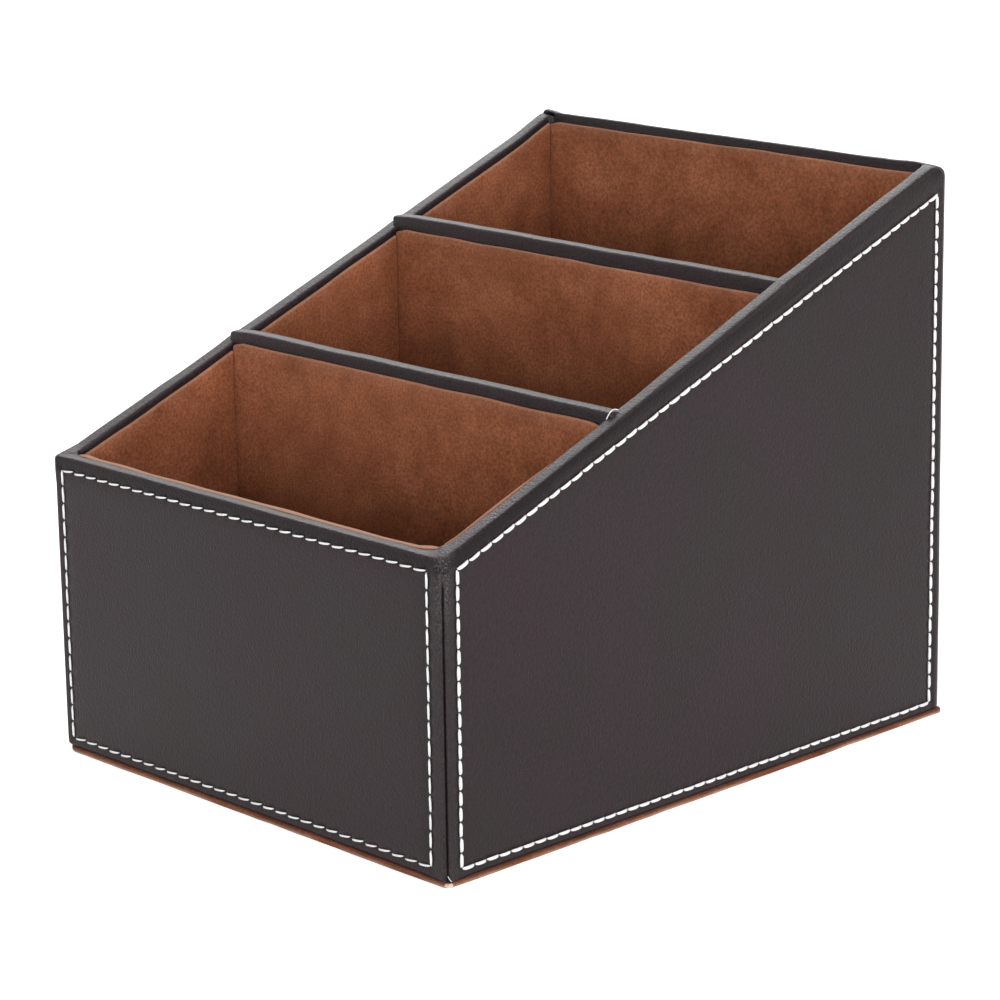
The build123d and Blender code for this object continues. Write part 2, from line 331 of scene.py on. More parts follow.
def add_block(name, low, high):
    # A plain block between two corners, to be shaped further
    lift_selection()
    middle = (Vector(low) + Vector(high)) / 2
    size = Vector(high) - Vector(low)
    bpy.ops.mesh.primitive_cube_add(size=1.0, location=middle, scale=size)
    piece = bpy.context.object
    piece.name = name
    piece.data.name = name
    bpy.ops.object.transform_apply(location=True, rotation=True, scale=True)
    return piece


def pick(piece, kind, test):
    # In edit mode, select what lies where the test says
    bpy.ops.mesh.select_mode(type=kind)
    bpy.ops.mesh.select_all(action="DESELECT")
    mesh = bmesh.from_edit_mesh(piece.data)
    elements = {"VERT": mesh.verts, "EDGE": mesh.edges, "FACE": mesh.faces}[kind]
    for element in elements:
        if test(element):
            element.select_set(True)
    mesh.select_flush_mode()
    bmesh.update_edit_mesh(piece.data)


def rise_of(edge):
    return abs(edge.verts[0].co.z - edge.verts[1].co.z)


def score(piece, axis, places):
    # Cut lines right across the piece at several places along one axis
    for place in places:
        bpy.ops.mesh.select_all(action="SELECT")
        point = [0.0, 0.0, 0.0]
        point[axis] = place
        direction = [0.0, 0.0, 0.0]
        direction[axis] = 1.0
        bpy.ops.mesh.bisect(plane_co=point, plane_no=direction)


def lines_between(low, high, step):
    # Even places between two ends, about one step apart
    count = max(1, round((high - low) / step))
    return [low + (high - low) * i / count for i in range(1, count)]


def move_points(piece, rule):
    # Move each point to where the rule says, as with a sculpting brush
    for vertex in piece.data.vertices:
        vertex.co = rule(vertex.co.copy())
    piece.data.update()


def weigh(piece, group_name, rule):
    # A vertex group with its weights from a rule
    group = piece.vertex_groups.new(name=group_name)
    for vertex in piece.data.vertices:
        weight = rule(vertex.co)
        if weight > LEAST_WEIGHT:
            group.add([vertex.index], min(1.0, weight), "REPLACE")


def press(piece, depth, group_name, rule):
    # Push points in, square to the surface, by weights from a rule
    weigh(piece, group_name, rule)
    only(piece)
    modifier = piece.modifiers.new(group_name, "DISPLACE")
    modifier.strength = -depth
    modifier.mid_level = 0.0
    modifier.vertex_group = group_name
    bpy.ops.object.modifier_apply(modifier=modifier.name)


def ripple(piece, height, cloud, group_name=None, rule=None):
    # Soft unevenness of the leather from a cloud, all over or where the rule says
    only(piece)
    modifier = piece.modifiers.new("ripple", "DISPLACE")
    modifier.strength = height
    modifier.mid_level = 0.5
    modifier.texture = cloud
    modifier.texture_coords = "LOCAL"
    if rule:
        weigh(piece, group_name, rule)
        modifier.vertex_group = group_name
    bpy.ops.object.modifier_apply(modifier=modifier.name)


def paint(piece, name, rule):
    # A painted mask that the material reads, by a rule for each point
    mask = piece.data.attributes.new(name, "FLOAT", "POINT")
    for vertex in piece.data.vertices:
        mask.data[vertex.index].value = rule(vertex.co)


def soft_cloud(name, size, depth=2):
    cloud = bpy.data.textures.new(name, "CLOUDS")
    cloud.noise_scale = size
    cloud.noise_depth = depth
    return cloud


def thicken(piece, thickness):
    # Give a surface its thickness, inwards
    only(piece)
    modifier = piece.modifiers.new("thickness", "SOLIDIFY")
    modifier.thickness = thickness
    modifier.offset = -1.0
    bpy.ops.object.modifier_apply(modifier=modifier.name)


def finish_piece(piece, material, nodes, angle=45.0):
    # Material, smooth shading and the piece's place in the model
    piece.data.materials.clear()
    piece.data.materials.append(material)
    only(piece)
    bpy.ops.object.shade_smooth_by_angle(angle=math.radians(angle))
    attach(piece, "root")
    if nodes:
        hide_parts(*nodes)


# Leather covers: one shell round the box, cut into four at its corners
# The rim and the hem run on from the faces in steps of (inward, upward)
RIM_STEPS = [
    (0.00002, 0.0004), (0.00008, 0.00068), (0.0002, 0.00088), (0.00038, 0.001), (0.0007, 0.00106),
    (0.0012, 0.00108), (0.0018, 0.00108), (0.0024, 0.00107), (0.0029, 0.00104), (0.0032, 0.00098),
    (0.0034, 0.00088), (0.0035, 0.00074), (0.00357, 0.0005), (0.0036, 0.0001), (0.0036, -0.0020),
    (0.0036, -0.0055), (0.0036, -0.0109),
]
HEM_STEPS = [
    (0.00006, -0.0003), (0.0002, -0.00055), (0.00045, -0.00073), (0.0008, -0.0008), (0.0045, -0.0008),
]
FACE_LOW = FOOT + HEM_ROUND
FACE_HIGH = FRONT_RIM - RIM_ROUND
SHRINK_CENTRE = (0.0, HALF_D * (WALL - BACK_WALL) / (WALL + BACK_WALL), 0.0)
INNER_CORNER_ROUND = 0.0030
# Spaces between the faces' grid lines, and where the upper corners get rounder
ACROSS_STEP = 0.002
UP_STEP = 0.0016
SEAM_STEP = 0.0002
NEAR_TOP = 0.010
FULL_EARLY = 1.2


def run_on(piece, start, steps, inner_round=None):
    # Extrude the open edge at one height on through the steps
    pick(piece, "EDGE", lambda edge: edge.is_boundary and
         all(abs(v.co.z - start) < ON_PLANE for v in edge.verts))
    inward_before, up_before = 0.0, 0.0
    both_ways = 1 + BACK_WALL / WALL
    for inward, up in steps:
        bpy.ops.mesh.extrude_edges_move(TRANSFORM_OT_translate={"value": (0, 0, up - up_before)})
        across = (HALF_W - inward) / (HALF_W - inward_before)
        along = (2 * HALF_D - inward * both_ways) / (2 * HALF_D - inward_before * both_ways)
        bpy.ops.transform.resize(value=(across, along, 1.0), center_override=SHRINK_CENTRE)
        if inner_round:
            radius = TOP_CORNER_ROUND + (inner_round - TOP_CORNER_ROUND) * softly(inward / WALL)
            mesh = bmesh.from_edit_mesh(piece.data)
            for vertex in mesh.verts:
                if vertex.select:
                    a = HALF_W - inward - vertex.co.x
                    b = vertex.co.y + HALF_D - inward
                    a, b = round_corner(a, b, radius)
                    vertex.co.x = HALF_W - inward - a
                    vertex.co.y = b - HALF_D + inward
            bmesh.update_edit_mesh(piece.data)
        inward_before, up_before = inward, up


def leather_shell():
    # The four faces in one band, with the rim and the hem turned in
    shell = add_block("leather_shell", (-HALF_W, -HALF_D, FACE_LOW), (HALF_W, HALF_D, FACE_HIGH))
    bpy.ops.object.mode_set(mode="EDIT")
    pick(shell, "FACE", lambda face: abs(face.normal.z) > 0.9)
    bpy.ops.mesh.delete(type="ONLY_FACE")
    for radius, at_corner in (
        (BACK_CORNER_ROUND, lambda place: place.x > 0 and place.y > 0),
        (CORNER_ROUND, lambda place: place.x < 0 or place.y < 0),
    ):
        pick(shell, "EDGE", lambda edge: rise_of(edge) > FRONT_RIM / 2 and at_corner(edge.verts[0].co) and
             abs(abs(edge.verts[0].co.x) - HALF_W) < ON_PLANE and
             abs(abs(edge.verts[0].co.y) - HALF_D) < ON_PLANE)
        bpy.ops.mesh.bevel(offset=radius, segments=CORNER_STEPS, affect="EDGES")
    score(shell, 0, lines_between(-HALF_W, HALF_W, ACROSS_STEP))
    score(shell, 1, lines_between(-HALF_D, HALF_D, ACROSS_STEP))
    score(shell, 1, [SIDE_END + step * SEAM_STEP for step in (-4, -3, -2, -1, 1, 2, 3, 4)])
    score(shell, 2, lines_between(FACE_LOW, FACE_HIGH, UP_STEP))
    # The upper corners on the right are rounder than the lower ones
    mesh = bmesh.from_edit_mesh(shell.data)
    for vertex in mesh.verts:
        if vertex.co.x < 0:
            continue
        up = (vertex.co.z - FACE_LOW) / (FACE_HIGH - FACE_LOW)
        if vertex.co.y < 0:
            near_top = softly(1.0 - (FACE_HIGH - vertex.co.z) / NEAR_TOP)
            radius = CORNER_ROUND + (TOP_CORNER_ROUND - CORNER_ROUND) * near_top
        else:
            radius = BACK_CORNER_ROUND + (BACK_TOP_CORNER_ROUND - BACK_CORNER_ROUND) * softly(up * FULL_EARLY)
        side = math.copysign(1.0, vertex.co.y)
        a, b = round_corner(HALF_W - vertex.co.x, HALF_D - abs(vertex.co.y), radius)
        vertex.co.x = HALF_W - a
        vertex.co.y = side * (HALF_D - b)
    bmesh.update_edit_mesh(shell.data)
    run_on(shell, FACE_HIGH, RIM_STEPS, inner_round=INNER_CORNER_ROUND)
    run_on(shell, FACE_LOW, HEM_STEPS)
    bpy.ops.mesh.select_all(action="SELECT")
    bpy.ops.mesh.normals_make_consistent(inside=False)
    bpy.ops.object.mode_set(mode="OBJECT")
    return shell


BUTT_LEAN = 0.13
MITRES = {
    "front_right": ((HALF_W, -HALF_D, 0), Vector((1.0, 1.0, 0)).normalized()),
    "front_left": ((-HALF_W, -HALF_D, 0), Vector((-1.0, 1.0, 0)).normalized()),
    # The side walls butt against the back panel, which is as wide as the box
    "back_right": ((HALF_W, SIDE_END, 0), Vector((BUTT_LEAN, -1.0, 0)).normalized()),
    "back_left": ((-HALF_W, SIDE_END, 0), Vector((-BUTT_LEAN, -1.0, 0)).normalized()),
    "middle": ((0, 0, 0), Vector((1.0, 0, 0))),
}


def cut_wall(shell, name, corners):
    # One wall's cover: for each corner, whether the part behind its cutting plane stays
    only(shell)
    bpy.ops.object.duplicate()
    piece = bpy.context.object
    piece.name = name
    piece.data.name = name
    bpy.ops.object.mode_set(mode="EDIT")
    for corner, keeps_negative in corners:
        place, direction = MITRES[corner]
        bpy.ops.mesh.select_all(action="SELECT")
        bpy.ops.mesh.bisect(
            plane_co=place, plane_no=direction, clear_outer=keeps_negative, clear_inner=not keeps_negative,
            threshold=ON_PLANE,
        )
    bpy.ops.object.mode_set(mode="OBJECT")
    return piece


def turned_down(into_end, radius):
    # How far a rim falls near a rounded end
    if into_end <= 0:
        return 0.0
    return radius - math.sqrt(max(0.0, radius * radius - min(into_end, radius) ** 2))


def soft_limit(value, limit, blend=0.0014):
    # The value, held under the limit with a soft bend
    over = max(0.0, blend - abs(value - limit)) / blend
    return min(value, limit) - over * over * blend / 4


def follow(points, place):
    # A smooth curve through a few (place, height) points
    for (a, low), (b, high) in zip(points, points[1:]):
        if place <= b:
            return low + (high - low) * softly((place - a) / (b - a))
    return points[-1][1]


# How the two side rims wander off the straight slope: (place from front to back, height)
RIGHT_WAVE = [
    (-0.0745, -0.0002), (-0.064, -0.00032), (-0.054, -0.00044), (-0.032, -0.00036), (-0.004, 0.00015),
    (0.026, 0.00048), (0.052, 0.00062), (0.062, 0.0005),
]
LEFT_WAVE = [
    (-0.0745, -0.0004), (-0.0725, -0.0008), (-0.068, -0.0014), (-0.035, -0.0016), (-0.006, -0.0017),
    (0.024, -0.0018), (0.050, -0.0017), (0.060, -0.0017), (0.0705, -0.0011),
]
DIVIDER_SWELL, DIVIDER_SWELL_REACH = 0.0002, 0.0045
SIDE_OVER_BACK = 0.0007
RIGHT_END_ROUND, LEFT_END_ROUND = 0.0026, 0.0004
TURNED_IN = 0.6
FRONT_CURL_REACH = 0.007
FRONT_INNER_DROP, FRONT_INNER_FROM = 0.0008, 0.0024
BACK_RIGHT_ROUND, BACK_LEFT_ROUND = 0.0032, 0.0020
BACK_RIM_TIP = 0.0008
BACK_RIGHT_SWELL, BACK_RIGHT_SWELL_X = 0.0003, 0.052
BACK_LEFT_SWELL, BACK_LEFT_SWELL_X = 0.0006, 0.054
RIM_BAND = 0.002


def side_rise(side, y):
    # Height of a side rim over the front rim
    rise = SLOPE * (y + HALF_D) + follow(RIGHT_WAVE if side > 0 else LEFT_WAVE, y)
    for divider_y in DIVIDER_Y:
        rise += DIVIDER_SWELL * softly(1.0 - abs(y - divider_y) / DIVIDER_SWELL_REACH)
    return soft_limit(rise, BACK_RIM + SIDE_OVER_BACK - FRONT_RIM)


def lifted(p, rise, inset, wall_width):
    # Outer faces stretch up to their rim, and what is turned in moves up whole
    share = (p.z - FACE_LOW) / (FACE_HIGH - FACE_LOW)
    if inset > TURNED_IN * wall_width and p.z > FRONT_RIM / 2:
        share = 1.0
    return Vector((p.x, p.y, p.z + rise * min(1.0, max(0.0, share))))


def raise_side(side):
    # The side walls rise from the front rim to the back rim
    end_round = RIGHT_END_ROUND if side > 0 else LEFT_END_ROUND

    def rule(p):
        rise = side_rise(side, p.y) - turned_down(p.y - SIDE_END + end_round, end_round)
        return lifted(p, rise, HALF_W - abs(p.x), WALL)

    return rule


def raise_front(p):
    # The front rim curls up to meet the side rims, and its inner edge is low between them
    inset = p.y + HALF_D
    past_mitre = HALF_W - abs(p.x) - inset
    rise = side_rise(p.x, inset - HALF_D) * softly(1.0 - past_mitre / FRONT_CURL_REACH)
    if p.z > FRONT_RIM - RIM_BAND:
        drop = FRONT_INNER_DROP * softly((inset - FRONT_INNER_FROM) / 0.0006)
        rise -= drop * softly(past_mitre / 0.004)
    return lifted(p, rise, inset, WALL)


def raise_back(p):
    # The back rim falls a little to the outside and turns down at both ends
    rise = BACK_RIM - FRONT_RIM
    end_round = BACK_RIGHT_ROUND if p.x > 0 else BACK_LEFT_ROUND
    rise -= turned_down(abs(p.x) - HALF_W + end_round, end_round)
    if p.x > 0:
        rise += BACK_RIGHT_SWELL * softly(1.0 - abs(p.x - BACK_RIGHT_SWELL_X) / 0.006)
    else:
        rise += BACK_LEFT_SWELL * softly((-p.x - BACK_LEFT_SWELL_X) / 0.005)
    if p.z > FRONT_RIM - RIM_BAND:
        rise -= BACK_RIM_TIP * softly(1.0 - (HALF_D - p.y) / BACK_WALL)
    return lifted(p, rise, HALF_D - p.y, BACK_WALL)


# Stitched borders: rows of (start, end, count, style) in the plane of each wall, along it and up
FRONT_ROWS = [
    ((-0.0568, 0.06247), (0.0556, 0.06247), 29, "level"),
    ((-0.0566, 0.00327), (0.0554, 0.00327), 29, "level"),
    ((-0.0572, 0.00310), (-0.0569, 0.06260), 16, "upright"),
    ((0.0553, 0.00320), (0.0556, 0.06245), 16, "upright"),
]
SIDE_ROWS = [
    ((-0.07056, 0.06287), (0.0699, 0.11565), 46, "sloping"),
    ((-0.07056, 0.00317), (0.0699, 0.00317), 43, "bottom"),
    ((-0.07074, 0.00317), (-0.07056, 0.06287), 19, "front"),
    ((0.0699, 0.00317), (0.0696, 0.11565), 35, "rear"),
]
BACK_ROWS = [
    ((-0.0560, 0.11700), (0.0560, 0.11700), 29, "level"),
    ((-0.0560, 0.00327), (0.0560, 0.00327), 29, "level"),
    ((-0.0560, 0.00327), (-0.0560, 0.11700), 33, "upright"),
    ((0.0560, 0.00327), (0.0560, 0.11700), 33, "upright"),
]


def on_wall(wall, along, up, out=0.0):
    # A place on a wall's outer face
    if wall == "front":
        return Vector((along, -HALF_D - out, up))
    if wall == "back":
        return Vector((-along, HALF_D + out, up))
    if wall == "right":
        return Vector((HALF_W + out, along, up))
    return Vector((-HALF_W - out, along, up))


def hole_places(rows):
    # Where the needle went through
    places = []
    for start, end, count, _ in rows:
        for i in range(count + 1):
            share = i / count
            places.append((start[0] + (end[0] - start[0]) * share, start[1] + (end[1] - start[1]) * share))
    return places


def row_distance(rows, along, up):
    # From a place on the wall to the nearest row
    spot = Vector((along, up))
    nearest = 1.0
    for start, end, _, _ in rows:
        run = Vector(end) - Vector(start)
        share = min(1.0, max(0.0, (spot - Vector(start)).dot(run) / run.length_squared))
        nearest = min(nearest, (Vector(start) + run * share - spot).length)
    return nearest


# How deep and how wide the thread and the corner seams draw the leather in
SEAM_DEPTH = 0.00042
SEAM_WIDTH = 0.0012
HOLE_WIDTH = 0.00055
FINER_REACH = 0.0019
PULL_REACH = 0.0035
OUTER_SKIN = 0.0005
MITRE_DEPTH = 0.0010
MITRE_GROOVE, MITRE_ROLL = 0.00022, 0.0006
BUTT_FADE = 0.25


def dress_cover(piece, wall, rows):
    # Draw the leather in along the seam and at each needle hole
    def face_place(p):
        if wall == "front":
            return p.x, p.z, p.y + HALF_D
        if wall == "back":
            return -p.x, p.z, HALF_D - p.y
        return p.y, p.z, HALF_W - abs(p.x)

    def near_seam(face):
        along, up, inset = face_place(face.calc_center_median())
        return inset < 0.8 * OUTER_SKIN and row_distance(rows, along, up) < FINER_REACH

    only(piece)
    bpy.ops.object.mode_set(mode="EDIT")
    pick(piece, "FACE", near_seam)
    bpy.ops.mesh.subdivide(number_cuts=2)
    bpy.ops.object.mode_set(mode="OBJECT")

    holes = hole_places(rows)
    tree = kdtree.KDTree(len(holes))
    for index, (along, up) in enumerate(holes):
        tree.insert((along, up, 0.0), index)
    tree.balance()

    def pull(p):
        along, up, inset = face_place(p)
        if inset > OUTER_SKIN:
            return 0.0
        gap = row_distance(rows, along, up)
        if gap > PULL_REACH:
            return 0.0
        _, _, hole_gap = tree.find((along, up, 0.0))
        return 0.45 * bell(gap, SEAM_WIDTH) + 0.55 * bell(hole_gap, HOLE_WIDTH)

    press(piece, SEAM_DEPTH, "seam_pull", pull)


def seam_rule(corners):
    # The two leathers roll in where they meet at a corner
    def rule(p):
        weight = 0.0
        for corner in corners:
            place, direction = MITRES[corner]
            gap = abs((p - Vector((place[0], place[1], p.z))).dot(direction))
            if gap > 2 * MITRE_ROLL:
                continue
            fade = BUTT_FADE
            if corner.startswith("front"):
                if abs(p.y + HALF_D) > 0.002:
                    continue
                fade = softly((FRONT_RIM - WALL - p.z) / 0.0026)
            weight = max(weight, fade * (0.8 * bell(gap, MITRE_GROOVE) + 0.2 * bell(gap, MITRE_ROLL)))
        return weight

    return rule


shell = leather_shell()
walls = {
    "front": cut_wall(shell, "front_leather", [("front_right", True), ("front_left", True)]),
    "right": cut_wall(
        shell, "right_side_leather", [("front_right", False), ("back_right", False), ("middle", False)]),
    "back": cut_wall(shell, "back_leather", [("back_right", True), ("back_left", True)]),
    "left": cut_wall(
        shell, "left_side_leather", [("front_left", False), ("back_left", False), ("middle", True)]),
}
lift_selection()
bpy.data.objects.remove(shell)
move_points(walls["front"], raise_front)
move_points(walls["right"], raise_side(1.0))
move_points(walls["left"], raise_side(-1.0))
move_points(walls["back"], raise_back)

# How the covers ripple, settle at the foot, wear at the corner and darken by the rim, with painted shade on
# the front rim's inner edge
broad_cloud = soft_cloud("broad_cloud", 0.030)
rim_cloud = soft_cloud("rim_cloud", 0.011, depth=1)
FACE_RIPPLE, RIM_RIPPLE, RIM_RIPPLE_REACH = 0.00018, 0.00022, 0.006
LEFT_FOOT_ROUND, REAR_FOOT_ROUND, FOOT_REACH = 0.0032, 0.0016, 0.004
CORNER_SINK, CORNER_SINK_REACH, CORNER_SINK_HEIGHT = 0.0009, 0.007, 0.006
WEAR_REACH, WEAR_FROM_SEAM, WEAR_WIDTH = 0.0075, 0.0013, 0.0010
DARK_STRIP_DEPTH, RIM_SIDE = 0.0032, 0.0006
WALL_ROWS = {"front": FRONT_ROWS, "right": SIDE_ROWS, "back": BACK_ROWS, "left": SIDE_ROWS}
WALL_CORNERS = {
    "front": ("front_right", "front_left"), "right": ("front_right", "back_right"),
    "back": ("back_right", "back_left"), "left": ("front_left", "back_left"),
}


def wall_top(wall, p):
    # Height of the rim above a point
    if wall == "front":
        return FRONT_RIM
    if wall == "back":
        return BACK_RIM
    return min(BACK_RIM, side_rim(p.y))


def settle_corners(wall):
    # Rounded lower corners, and the worn front corner that has sunk to the foot
    def rule(p):
        q = p.copy()
        low = p.z - FOOT
        if low < FOOT_REACH:
            near = softly(1.0 - (p.y + HALF_D) / FOOT_REACH)
            a, b = round_corner(p.x + HALF_W, low, LEFT_FOOT_ROUND)
            q.x += (a - HALF_W - p.x) * near
            q.z += (b + FOOT - p.z) * near
            if wall == "right":
                a, b = round_corner(HALF_D - p.y, low, REAR_FOOT_ROUND)
                q.y, q.z = HALF_D - a, q.z + b + FOOT - p.z
        to_corner = math.hypot(HALF_W - p.x, p.y + HALF_D)
        sink = CORNER_SINK * softly(1.0 - to_corner / CORNER_SINK_REACH)
        q.z -= sink * softly(1.0 - low / CORNER_SINK_HEIGHT)
        return q

    return rule


def corner_wear(p):
    # Speckled wear down both sides of the front right corner
    if p.x < HALF_W - WEAR_REACH and p.y > -HALF_D + WEAR_REACH:
        return 0.0
    from_seam = math.hypot(HALF_W - p.x, p.y + HALF_D)
    beside = bell(from_seam - WEAR_FROM_SEAM, WEAR_WIDTH)
    height = 0.25 + 0.75 * softly((p.z - 0.042) / 0.018)
    foot = 0.7 * softly(1.0 - p.z / 0.010)
    return beside * max(height, foot)


def dark_strip_and_painted_gap_shade(wall, p):
    # Darker between the stitches and the rim, and painted shade of the dark turn-in gap on the front rim's
    # inner edge
    inset = HALF_D - abs(p.y) if wall in ("front", "back") else HALF_W - abs(p.x)
    if wall == "front" and inset > RIM_SIDE:
        return softly((inset - 0.0019) / 0.0005) * softly((0.0012 - abs(p.z - FRONT_RIM)) / 0.0004)
    if inset > RIM_SIDE:
        return 0.0
    below = wall_top(wall, p) - p.z
    return softly((DARK_STRIP_DEPTH - below) / 0.0008) * softly((below + 0.0002) / 0.0006)


for wall, piece in walls.items():
    dress_cover(piece, wall, WALL_ROWS[wall])
    press(piece, MITRE_DEPTH, "corner_seam", seam_rule(WALL_CORNERS[wall]))
    ripple(piece, FACE_RIPPLE, broad_cloud)
    ripple(piece, RIM_RIPPLE, rim_cloud, "rim",
           lambda p: softly(1.0 - (wall_top(wall, p) - p.z) / RIM_RIPPLE_REACH))
    move_points(piece, settle_corners(wall))
    paint(piece, "edge_wear", corner_wear)
    # A darker strip under the rim, and painted shade on the front rim's inner edge
    paint(piece, "dark_strip_and_painted_gap_shade", lambda p: dark_strip_and_painted_gap_shade(wall, p))
    thicken(piece, LEATHER)
for wall, node_name in (("front", "front_cover"), ("back", "back_cover"),
                        ("left", "left_side_cover"), ("right", "right_side_cover")):
    finish_piece(walls[wall], leather, [node_name])


# Boards of the raised walls, cut to the line of their own rim and rounded where it turns down
BOARD_DROP = 0.0008
BOARD_END_ROUND = 0.004


def wall_board(node, rim):
    low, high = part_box(node)
    board = add_block(node + "_card", low, high)
    long_axis = 0 if high.x - low.x > high.y - low.y else 1
    bpy.ops.object.mode_set(mode="EDIT")
    score(board, long_axis, lines_between(low[long_axis], high[long_axis], ACROSS_STEP))
    bpy.ops.object.mode_set(mode="OBJECT")

    def cut(p):
        if p.z < high.z / 2:
            return p
        into_end = p[long_axis] - high[long_axis] + BOARD_END_ROUND
        return Vector((p.x, p.y, rim(p) - BOARD_DROP - turned_down(into_end, BOARD_END_ROUND)))

    move_points(board, cut)
    finish_piece(board, fibreboard, [node])


wall_board("left_side_board", lambda p: FRONT_RIM + side_rise(-1.0, p.y))
wall_board("right_side_board", lambda p: FRONT_RIM + side_rise(1.0, p.y))
wall_board("back_board", lambda p: BACK_RIM - BACK_RIM_TIP)


# Divider caps: leather folded over the board, its ends lapped over the side rims
CAP_EDGE_ROUND = 0.0008
CAP_LEFT_END, CAP_RIGHT_END = 0.0583, 0.0578
CAP_END_REACH = 0.008
CAP_LEFT_DROOP, CAP_SETTLE = 0.0005, 0.0002
CAP_SWAY, CAP_LIFT = 0.0002, 0.00018


def divider_cap(node):
    # An open folded strip, bent and then given its thickness
    low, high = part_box(node)
    cap = add_block(node.replace("_cap", "_leather"), low, high)
    top = high.z
    middle_y = (low.y + high.y) / 2
    bpy.ops.object.mode_set(mode="EDIT")
    pick(cap, "FACE", lambda face: face.normal.z < -0.9)
    bpy.ops.mesh.delete(type="ONLY_FACE")
    pick(cap, "EDGE", lambda edge: all(v.co.z > top - 1e-5 for v in edge.verts) or rise_of(edge) > 0.005)
    bpy.ops.mesh.bevel(offset=CAP_EDGE_ROUND, segments=5, affect="EDGES")
    score(cap, 0, lines_between(low.x + ACROSS_STEP, high.x - ACROSS_STEP, ACROSS_STEP))
    score(cap, 2, [top - 0.0025, top - 0.0045, top - 0.008])
    bpy.ops.mesh.select_all(action="SELECT")
    bpy.ops.mesh.normals_make_consistent(inside=False)
    bpy.ops.object.mode_set(mode="OBJECT")
    left_reach = CAP_LEFT_END + low.x
    right_reach = CAP_RIGHT_END - high.x

    def lap(p):
        # Both ends run out over the rims, and the left one settles on its rim
        near_top = softly(1.0 - (top - p.z) / 0.0028)
        into_end = softly((abs(p.x) - (high.x - CAP_END_REACH)) / CAP_END_REACH)
        x = p.x + (right_reach if p.x > 0 else -left_reach) * into_end
        droop = 0.0 if p.x > 0 else CAP_LEFT_DROOP
        z = p.z - (CAP_SETTLE + droop * into_end ** 2) * near_top
        sway = noise.noise(Vector((p.x * 55.0, middle_y * 400.0, 0.0)))
        lift = noise.noise(Vector((p.x * 75.0, middle_y * 300.0, 5.0)))
        return Vector((x, p.y + CAP_SWAY * sway * near_top, z + CAP_LIFT * lift * near_top))

    move_points(cap, lap)
    thicken(cap, LEATHER)
    finish_piece(cap, leather, [node])


divider_cap("front_divider_cap")
divider_cap("rear_divider_cap")


# Suede covered cards inside the bays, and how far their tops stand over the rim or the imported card
LINING_LIFTS = {
    "left": -0.0010, "right": -0.0008, "front_bay_right_lining": 0.0001, "front_bay_front_lining": 0.0010,
    "front_bay_back_lining": -0.0005, "middle_bay_back_lining": -0.0011, "rear_bay_back_lining": -0.0006,
}
# How much paler each card's top edge is: partly its cut edge, partly a painted highlight
EDGE_AND_HIGHLIGHT_SHARES = {"front_bay_front_lining": 1.0, "front_bay_right_lining": 0.55}
PLAIN_EDGE_AND_HIGHLIGHT, EDGE_AND_HIGHLIGHT_DEPTH = 0.3, 0.0007
CARD_BEND = 0.0012
CARD_EDGE_ROUND, CARD_CORNER_ROUND, CARD_STEP = 0.00042, 0.0025, 0.0035
CARD_UNEVEN, CARD_TOP_UNEVEN, CARD_TOP_REACH = 0.00022, 0.0003, 0.010
FRONT_BAY_SINK = 0.0009
FRONT_CARD_SWELL = 0.0006


def bend_into_corner(q, place, share):
    # Front bay: the front and right cards bend round the inner corner together
    a = HALF_W - WALL - q.x
    b = q.y + HALF_D - WALL
    depth = min(CARD_BEND, max(0.0, b if place == "front" else a))
    new_a, new_b = round_corner(a - depth, b - depth, INNER_CORNER_ROUND + 0.0002 - depth)
    q.x = HALF_W - WALL - (a + (new_a + depth - a) * share)
    q.y = (b + (new_b + depth - b) * share) - HALF_D + WALL


